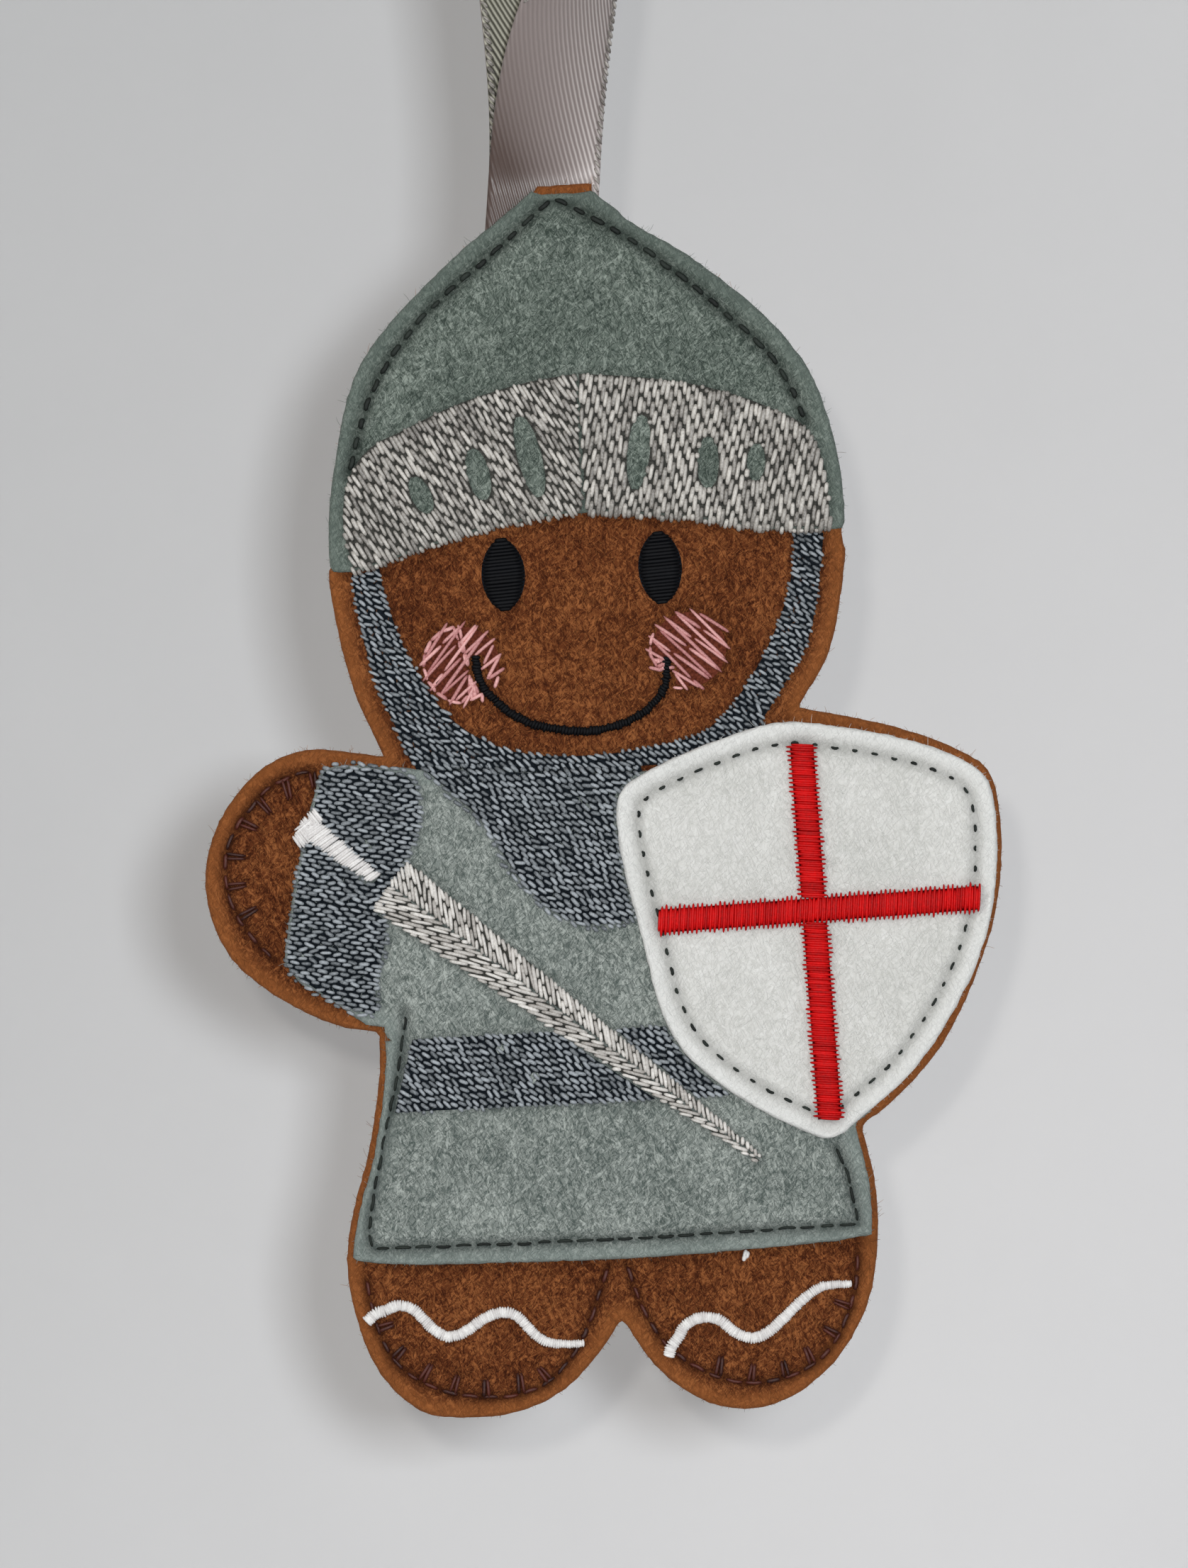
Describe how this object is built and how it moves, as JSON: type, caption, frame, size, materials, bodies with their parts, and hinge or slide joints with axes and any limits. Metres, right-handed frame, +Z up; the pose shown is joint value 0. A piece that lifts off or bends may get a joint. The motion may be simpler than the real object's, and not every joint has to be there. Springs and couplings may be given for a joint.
{
  "type": "gingerbread ornament",
  "caption": "Hanging felt gingerbread figure in a stitched helmet and tunic, with an embroidered sword, a shield with a red cross, iced feet and a satin ribbon loop.",
  "frame": {"origin": "inside of the top of the ribbon loop, where a hook or twig carries it", "axes": "+Z up, -Y the figure's front, +X to the right seen from the front"},
  "size_m": [0.0787, 0.0154, 0.1913],
  "materials": {
    "gingerbread_felt": "soft needle-felt, matte",
    "back_felt": "soft needle-felt, matte",
    "backing": "soft needle-felt, matte",
    "grey_felt": "soft needle-felt, matte",
    "white_felt": "soft needle-felt, matte",
    "silver_thread": "rayon embroidery thread, satin",
    "mail_thread": "rayon embroidery thread, satin",
    "red_thread": "rayon embroidery thread, satin",
    "black_thread": "rayon embroidery thread, satin",
    "pink_thread": "rayon embroidery thread, satin",
    "white_thread": "rayon embroidery thread, satin",
    "brown_thread": "rayon embroidery thread, satin",
    "ribbon": "ribbed satin ribbon"
  },
  "bodies": {
    "loop": {"hanging_ribbon": "ribbon"},
    "figure": {"ribbon_tail_front": "ribbon", "ribbon_tail_back": "ribbon", "back_felt": "back_felt", "backing_sheet": "backing", "front_felt": "gingerbread_felt", "hood_felt": "grey_felt", "tunic_felt": "grey_felt", "shield_felt": "white_felt", "visor_left": "silver_thread", "visor_right": "silver_thread", "coif_mail": "mail_thread", "chest_mail": "mail_thread", "sleeve_mail": "mail_thread", "belt_mail_left": "mail_thread", "belt_mail_right": "mail_thread", "sword_blade_upper": "silver_thread", "sword_blade_lower": "silver_thread", "sword_grip": "white_thread", "sword_pommel": "white_thread", "cross_bar": "red_thread", "cross_post_upper": "red_thread", "cross_post_lower": "red_thread", "eye_left": "black_thread", "eye_right": "black_thread", "smile": "black_thread", "cheek_left": "pink_thread", "cheek_right": "pink_thread", "icing_left": "white_thread", "icing_right": "white_thread", "hood_stitch": "brown_thread", "tunic_stitch": "brown_thread", "shield_stitch": "brown_thread", "hand_stitch": "brown_thread", "foot_stitch_left": "brown_thread", "foot_stitch_right": "brown_thread", "back_stitch": "brown_thread"}
  },
  "joints": [
    {"name": "figure_swing", "type": "hinge", "parent": "loop", "child": "figure", "pos_m": [-0.0023, 0, -0.068], "axis": [1, 0, 0], "range_deg": [-90, 90]}
  ]
}
